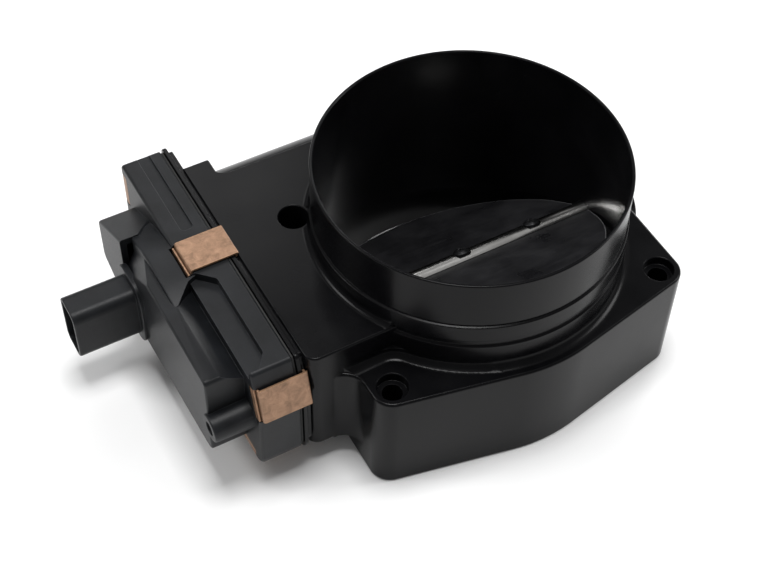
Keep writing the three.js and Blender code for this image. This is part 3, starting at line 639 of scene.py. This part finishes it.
def gear_housing():
    tub = prism_x(tub_outline(), -92.5, TUB_BACK_X, 0.8)
    plan = rounded([
        (NECK_X, FRONT_Y, 5), (-27, FRONT_Y, 0), (-27, 67.8, 5), (TUB_BACK_X - 0.9, 67.8, 6),
        (TUB_BACK_X - 0.9, 77.5, 0), (NECK_X, 77.5, 0),
    ])
    body = join(tub, prism(plan, BOTTOM_Z, BLOCK_TOP, 0.9))
    body = cut(body, block(-100, NECK_X, -50, 110, 0, 90))
    neck = prism_x(cover_outline(1.6), -92, -89.8)
    flange = prism_x(cover_outline(0), FLANGE_X, -91.7, 0.35)
    return join(body, neck, flange)


def pad_corner_outline(right, near, far):
    """The pad's side, which runs on in an inside round to the gear housing's front wall."""
    side, radius = PAD_SIDE_X, 9
    hollow = arc((side - radius, FRONT_Y - radius), radius, 0, math.pi / 2, 12)
    return [(side, near), (right, near), (right, far), (side - radius, far)] + hollow[::-1]


def pad_corner():
    """Fills the inside round beside the pad, with the pad's own edge round on top."""
    outline = pad_corner_outline(-63, FRONT_Y - 12, FRONT_Y + 4)
    return prism(outline, BOTTOM_Z - 0.3, PAD_H, 1.1, low_edge=0, steps=4)


def wall_foot():
    """The soft foot of the housing's front wall on the pad, and the inside corner beside the tube."""
    corner, flare, steps = 12, 4, 6
    centre_y = FRONT_Y - corner
    centre = (-math.sqrt((COLLAR_R + corner) ** 2 - centre_y ** 2), centre_y)
    touch = math.atan2(centre[1], centre[0])
    inner = arc(centre, corner, math.pi / 2, touch + math.pi, 16)
    outline = [(-76, FRONT_Y + 12), (-76, FRONT_Y)] + inner
    outline += arc((0, 0), COLLAR_R, touch, touch + 0.5, 12)[1:] + [(-30, FRONT_Y + 12)]
    rings = [[(x, y, PAD_H - 1) for x, y in inset(outline, -flare)]]
    for i in range(steps + 1):
        turn = math.pi / 2 * i / steps
        level = PAD_H - 0.02 + flare * (1 - math.cos(turn))
        rings.append([(x, y, level) for x, y in inset(outline, -flare * (1 - math.sin(turn)))])
    on_pad = prism(inset(pad_corner_outline(-20, -80, FRONT_Y + 16), 1.1), PAD_H - 2, PAD_H + 6)
    return common(from_rings("wall foot", rings, FACING_Z), on_pad)


def corner_fillets():
    """Inside rounds: beside the pad, along the wall's foot, and round the tube on the block."""
    ring_r, ring_z = COLLAR_R + 3.2, BLOCK_TOP - 0.02
    ring = turned([
        (0, BLOCK_TOP - 2, 0), (ring_r, BLOCK_TOP - 2, 0), (ring_r, ring_z, 0),
        (COLLAR_R, ring_z, 3), (COLLAR_R, BLOCK_TOP + 4, 0), (0, BLOCK_TOP + 4, 0),
    ], segments=256)
    ring = common(ring, block(-78, -27, FRONT_Y + 0.9, 67, BLOCK_TOP - 3, BLOCK_TOP + 5))
    return pad_corner(), wall_foot(), ring


def bolt_hole(x, y, face):
    """Tools for one hole: the hole, its seat, and the spot face up to the next groove round the tube."""
    seat = PAD_H - SEAT_DEPTH
    through = turned([(0, -1, 0), (BOLT_R + 0.4, -1, 0), (BOLT_R + 0.4, 0, 0), (BOLT_R, 0.4, 0),
                      (BOLT_R, seat + 1, 0), (0, seat + 1, 0)], (x, y), segments=64)
    head = turned([(0, seat, 0), (SEAT_R, seat, 0.3), (SEAT_R, face - 0.35, 0),
                   (SEAT_R + 0.6, face + 0.25, 0), (SEAT_R + 0.6, face + 1, 0), (0, face + 1, 0)],
                  (x, y), segments=72)
    spotface_top = LOWER_GROOVE_Z if face == PAD_H else UPPER_GROOVE_Z + 0.2
    clearance = drum((x, y), SEAT_R + 1, face + 0.02, spotface_top, segments=72)
    return through, head, clearance


def shaft_passage():
    """Stepped hole for the spring bush, the bearings, the seals and the shaft, from cover to idle side."""
    axis = (0, SHAFT_Z)
    stages = [
        (SPRING_BUSH_R, -84, -77), (BEARING_R, -78, -69.5), (SEAL_R, -70, -65),
        (SHAFT_R + 0.3, -66, 66), (SEAL_R, 62.4, 67), (BEARING_R, 66, 79),
    ]
    return [drum(axis, r, low, high, along="X", segments=64) for r, low, high in stages]


def motor_housing():
    r, start, end = MOTOR_HOUSING_R, -80, -24
    profile = [(0, start, 0), (r, start, 0), (r, end, 5), (0, end, 0)]
    return turned(profile, (MOTOR_Y, MOTOR_Z), "X", 128, 10)


def idle_boss():
    r, start = 15, 60
    profile = [(0, start, 0), (r, start, 0), (r, IDLE_END_X, 0.9), (0, IDLE_END_X, 0)]
    return turned(profile, (0, SHAFT_Z), "X", 96)


def build_housing():
    body = join(
        inlet_tube(), flange_pad(), gear_housing(), *corner_fillets(), motor_housing(), idle_boss())
    bore = turned([(0, -1, 0), (BORE_R + 0.5, -1, 0), (BORE_R + 0.5, 0, 0), (BORE_R, 0.5, 0),
                   (BORE_R, 60, 0), (TUBE_R - 1.4, BODY_H - 0.35, 0), (TUBE_R - 1.1, BODY_H, 0),
                   (TUBE_R - 1.1, BODY_H + 1, 0), (0, BODY_H + 1, 0)], segments=256)
    groove = lathe([(62.4, -1), (65.3, -1), (65.3, 2), (62.4, 2), (62.4, -1)])
    tools = [bore, groove, *shaft_passage()]
    for x, y, face in ((-BOLT_X, BOLT_FRONT_Y, PAD_H), (BOLT_X, BOLT_FRONT_Y, PAD_H),
                       (BOLT_X, BOLT_REAR_Y, PAD_H), (-BOLT_X, BOLT_REAR_Y, BLOCK_TOP)):
        tools += bolt_hole(x, y, face)
    pin, stop = (GEAR_PIN_Y, GEAR_PIN_Z), (STOP_SCREW_X, STOP_SCREW_Y)
    tools += [
        prism_x(tub_cavity_outline(), -95, TUB_FLOOR_X),
        drum((MOTOR_Y, MOTOR_Z), MOTOR_BORE_R, TUB_FLOOR_X - 1, -44, along="X"),
        drum(pin, GEAR_PIN_HOLE_R, TUB_FLOOR_X - 1, -75, along="X", segments=32),
        drum(stop, STOP_SCREW_HOLE_R, BOTTOM_Z - 1, 20, segments=32),
    ]
    for side in (-1, 1):
        place = (MOTOR_Y + side * MOTOR_SCREW_DY, MOTOR_Z - side * MOTOR_SCREW_DZ)
        tools.append(drum(place, 2.1, TUB_FLOOR_X - 1, -73, along="X", segments=24))
    return cut(body, *tools)


finish_piece(build_housing(), "machined_housing", finishes["anodised_housing"], "body",
             ["throttle_housing"])

# ---------------------------------------------------------------- shaft, plate and screws

ON_SHAFT = Matrix.Translation((0, 0, SHAFT_Z)) @ Matrix.Rotation(-REST_OPENING, 4, "X")


def build_shaft():
    """A bar with a slot for the plate, screw holes and seats, and a groove for its retaining clip."""
    bar = drum((0, 0), SHAFT_R, -90.4, 73, 0.4, "X", 96)
    half = PLATE_T / 2 + 0.15
    tools = [block(-BORE_R, BORE_R, -10, 10, -half, half)]
    for x in SCREW_X:
        tools.append(drum((x, 0), SCREW_HOLE_R, -10, 10, segments=32))
        tools.append(drum((x, 0), 4.1, 3.1, 10, segments=48))
    tools.append(lathe([(3.6, -78.3), (6, -78.3), (6, -77.1), (3.6, -77.1), (3.6, -78.3)], (0, 0), "X", 64))
    return cut(bar, *tools)


def build_plate():
    """A disc whose rim lies along the bore when the plate is closed."""
    radius = BORE_R - 0.35
    core = drum((0, 0), radius, -30, 30, segments=256)
    core.data.transform(Matrix.Rotation(CLOSED_OPENING, 4, "X"))
    disc = common(block(-80, 80, -80, 80, -PLATE_T / 2, PLATE_T / 2), core)
    return cut(disc, *[drum((x, 0), SCREW_HOLE_R, -10, 10, segments=32) for x in SCREW_X])


def build_plate_screw(x):
    """A domed screw with a cross recess."""
    seat, top = 3.3, 5.6
    body = turned([(0, -4.2, 0), (2.05, -4.2, 0.3), (2.05, seat, 0), (3.5, seat, 0.15),
                   (3.5, top - 1, 0.5), (2.2, top - 0.12, 0.9), (0, top, 0)], segments=64)
    slots = [block(-1.7, 1.7, -0.4, 0.4, top - 1.2, top + 1), block(-0.4, 0.4, -1.7, 1.7, top - 1.2, top + 1)]
    body = cut(body, *slots)
    body.data.transform(Matrix.Translation((x, 0, 0)))
    return body


finish_piece(build_shaft(), "ground_shaft", finishes["polished_steel"], "throttle",
             ["throttle_shaft"], ON_SHAFT)
finish_piece(build_plate(), "tilting_plate", finishes["black_plate"], "throttle",
             ["throttle_plate"], ON_SHAFT)
for number, x in enumerate(SCREW_X, 1):
    finish_piece(build_plate_screw(x), f"domed_screw_{number}", finishes["black_screw"], "throttle",
                 [f"plate_screw_{number}"], ON_SHAFT)

# ---------------------------------------------------------------- clips

CLIP_FRAMES = {
    "top": (Vector((0, 0, 1)), 25.5, BLOCK_TOP),
    "front": (Vector((0, -22.5, 6)).normalized(), -36.6, 45.2),
    "bottom_front": (Vector((0, 0, -1)), -13, BOTTOM_Z),
    "bottom_back": (Vector((0, 0, -1)), 66, BOTTOM_Z),
    "back": (Vector((0, 1, 0)), BACK_Y, 62.5),
}


def clip_matrix(outward, y, z):
    """Clip coordinates: u towards the cover, v outwards, w along the joint."""
    towards = Vector((-1, 0, 0))
    across = towards.cross(outward)
    turn = Matrix((towards, outward, across)).transposed().to_4x4()
    return Matrix.Translation((CLIP_X, y, z)) @ turn


def build_clip():
    """A spring strip, hooked behind the housing's flange at one end and over the cover at the other."""
    outline = rounded([
        (-0.7, 0.3, 0), (0, 0.3, 0.05), (0, -1.2, 0.1), (0.8, -1.2, 0.3), (0.8, 0.3, 0.1),
        (19.4, 0.3, 0.4), (19.4, -5.1, 0.8), (21.3, -5.1, 0.8), (21.3, -1.2, 0.3), (20.5, -1.2, 0.3),
        (20.5, -4.3, 0.1), (20.2, -4.3, 0.1), (20.2, CLIP_TOP, 1.1), (-0.7, CLIP_TOP, 0.7),
    ], 6)
    return prism(outline, 0, CLIP_WIDTH, 0.0)


for place, where in CLIP_FRAMES.items():
    finish_piece(build_clip(), f"spring_clip_{place}", finishes["copper_spring"], "body",
                 [f"cover_clip_{place}"], clip_matrix(*where))

# ---------------------------------------------------------------- gear cover


def connector_outline(grow):
    w, h = CONNECTOR_W / 2 + grow, CONNECTOR_H / 2 + grow
    return rectangle(CONNECTOR_Y - w, CONNECTOR_Y + w, CONNECTOR_Z - h, CONNECTOR_Z + h, 4.5 + grow, 10)


def block_outline(g):
    return rounded([
        (-23.5 + g, 20 + g, 3), (60, 17 + g, 8), (84.7 - g, 28, 5), (84.7 - g, 50 - g / 2, 4),
        (56 - g / 2, BLOCK_TOP_Z - g, 6), (-23.5 + g, BLOCK_TOP_Z - g, 2),
    ])


def gear_arch():
    """The low arch over the large gear. In plan it widens towards the joint."""
    end, radius = -123, 64
    crown = arc((34, 67.6 - radius), radius, math.radians(56), math.radians(112), 40)
    plan = rounded([
        (end, 13.5, 1), (-113, 23.5, 2), (-109, 25, 0), (-109, 66, 0), (-113, 64, 2), (end, 57, 1),
    ])
    return common(prism_x([(10, 40), (70, 40)] + crown, end, -109.5, 0, low_edge=0.9), prism(plan, 41, 100))


def valley(drop):
    """The valley between the block's top strip and the rim, lowered by the given drop."""
    strip, floor = BLOCK_X + 6.5, BLOCK_TOP_Z - 5.5 - drop
    outline = [
        (strip, BLOCK_TOP_Z - drop), (RIM_X - 0.5, floor), (RIM_X + 6, floor), (RIM_X + 6, 100), (strip, 100),
    ]
    return prism(outline, -40, 100, placement=FACING_Y)


def sloped_corner(shift=0):
    """The block's outer face falls away towards its upper back corner."""
    outward = Vector((-0.877, 0.293, 0.383)).normalized()
    half = block(-50, 50, -50, 50, 0, 20)
    turn = Vector((0, 0, 1)).rotation_difference(outward).to_matrix().to_4x4()
    half.data.transform(Matrix.Translation((BLOCK_X + shift, 44.5, 53)) @ turn)
    return common(half, block(-150, -100, -50, 57.5, 0, 100))


def build_cover():
    """The cover: a rim, the raised block and arch on it, the front boss, and the connector shroud."""
    base = prism_x(cover_outline(0.4), RIM_X, COVER_X, 0.3, low_edge=1.2)
    pocket = prism(rounded([
        (-118, -28.6, 0), (-107.5, -28.6, 1), (-102.8, -22, 2), (-102.8, 18.5, 2), (-109.3, 25, 1),
        (-118, 25, 0),
    ]), 64.2, 72)
    groove = prism(rectangle(-105, -99.6, 47, 100, 2), 66.6, 72)
    base = cut(base, pocket, groove)
    boss = turned([(0, -110, 0), (6.5, -110, 0), (6, -129, 0.8), (3, -129, 0.3), (2.6, -126.5, 0),
                   (0, -126.5, 0)], (-26, 40), "X", 64)
    step = prism_x(connector_outline(4), BLOCK_X - 1.6, BLOCK_X + 1, 0, low_edge=0.5)
    shroud = prism_x(connector_outline(0), CONNECTOR_X, BLOCK_X, 0, low_edge=0.6)
    raised = cut(prism_x(block_outline(0), BLOCK_X, -110, 0, low_edge=1.0), sloped_corner(), valley(0))
    body = join(base, raised, gear_arch(), boss, step, shroud)
    tools = [
        prism_x(cover_outline(WALL), -101.3, COVER_X + 1),
        prism_x(rectangle(-31, 90, 15.6, 61.2, 6), -109.6, -101),
        cut(prism_x(block_outline(WALL), BLOCK_X + WALL, -109), sloped_corner(WALL), valley(WALL)),
        prism_x(connector_outline(-1.6), CONNECTOR_X - 1, -136),
    ]
    half = PIN_HOLE_HALF
    for dy in (-PIN_DY, PIN_DY):
        for dz in (-PIN_DZ, 0, PIN_DZ):
            y, z = CONNECTOR_Y + dy, CONNECTOR_Z + dz
            tools.append(block(-140, -120, y - half, y + half, z - half, z + half))
    for where in CLIP_FRAMES.values():
        notch = prism(rectangle(19, 22.6, -5.5, 9, 0), -0.4, CLIP_WIDTH + 0.4)
        notch.data.transform(clip_matrix(*where))
        tools.append(notch)
    return cut(body, *tools)


finish_piece(build_cover(), "moulded_cover", finishes["black_plastic"], "body",
             ["gear_cover"])

# ---------------------------------------------------------------- studio


def studio():
    n = Nodes("pale floor")
    n.colour(n.blend(n.span(n.noise(0.004, 2), 0.3, 0.7), (0.9, 0.9, 0.9), (0.93, 0.93, 0.93)))
    n.gloss(0.9, 0.0, 0.1)
    floor = block(-3000, 3000, -3000, 3000, -20, -0.05)
    floor.name = "studio_floor"
    floor.data.transform(Matrix.Scale(MM, 4))
    floor.data.materials.append(n.material)

    world = bpy.data.worlds.new("studio")
    world.use_nodes = True
    world.node_tree.nodes["Background"].inputs["Color"].default_value = (1.0, 1.0, 1.0, 1.0)
    world.node_tree.nodes["Background"].inputs["Strength"].default_value = 0.28
    bpy.context.scene.world = world
    bpy.context.scene.view_settings.view_transform = "Standard"

    def panel(name, place, aim, width, height, power):
        light = bpy.data.lights.new(name, "AREA")
        light.shape = "RECTANGLE"
        light.size, light.size_y = width, height
        light.energy = power
        obj = bpy.data.objects.new(name, light)
        obj.location = place
        obj.rotation_euler = (Vector(aim) - Vector(place)).to_track_quat("-Z", "Y").to_euler()
        bpy.context.scene.collection.objects.link(obj)

    panel("softbox behind", (0.16, 1.05, 1.05), (-0.05, 0.1, 0.05), 0.6, 0.45, 2.6)
    panel("low back right", (1.1, 0.75, 0.42), (-0.1, 0, 0.06), 0.5, 0.35, 7)
    panel("overhead", (0.0, 0.0, 1.6), (0, 0, 0), 0.5, 0.5, 16)
    panel("right side", (1.1, -0.35, 0.75), (0, 0, 0.05), 0.4, 0.6, 7)
    panel("left side", (-0.9, 0.5, 1.0), (0, 0, 0.05), 0.4, 0.4, 6)


def camera():
    """The photograph's view: from the front on the cover's side, looking down into the bore."""
    azimuth, elevation, roll = (math.radians(angle) for angle in (-30.346, 50.944, 1.704))
    data = bpy.data.cameras.new("camera")
    data.lens, data.sensor_width = 72.45, 36.0
    obj = bpy.data.objects.new("camera", data)
    swing = Matrix.Rotation(azimuth, 4, "Z")
    tilt = Matrix.Rotation(math.pi / 2 - elevation, 4, "X")
    lean = Matrix.Rotation(roll, 4, "Z")
    stand = (Vector((-239.9, -347.55, 539.6)) + BORE_AXIS) * MM
    obj.matrix_world = Matrix.Translation(stand) @ swing @ tilt @ lean
    bpy.context.scene.collection.objects.link(obj)
    bpy.context.scene.camera = obj


studio()
camera()
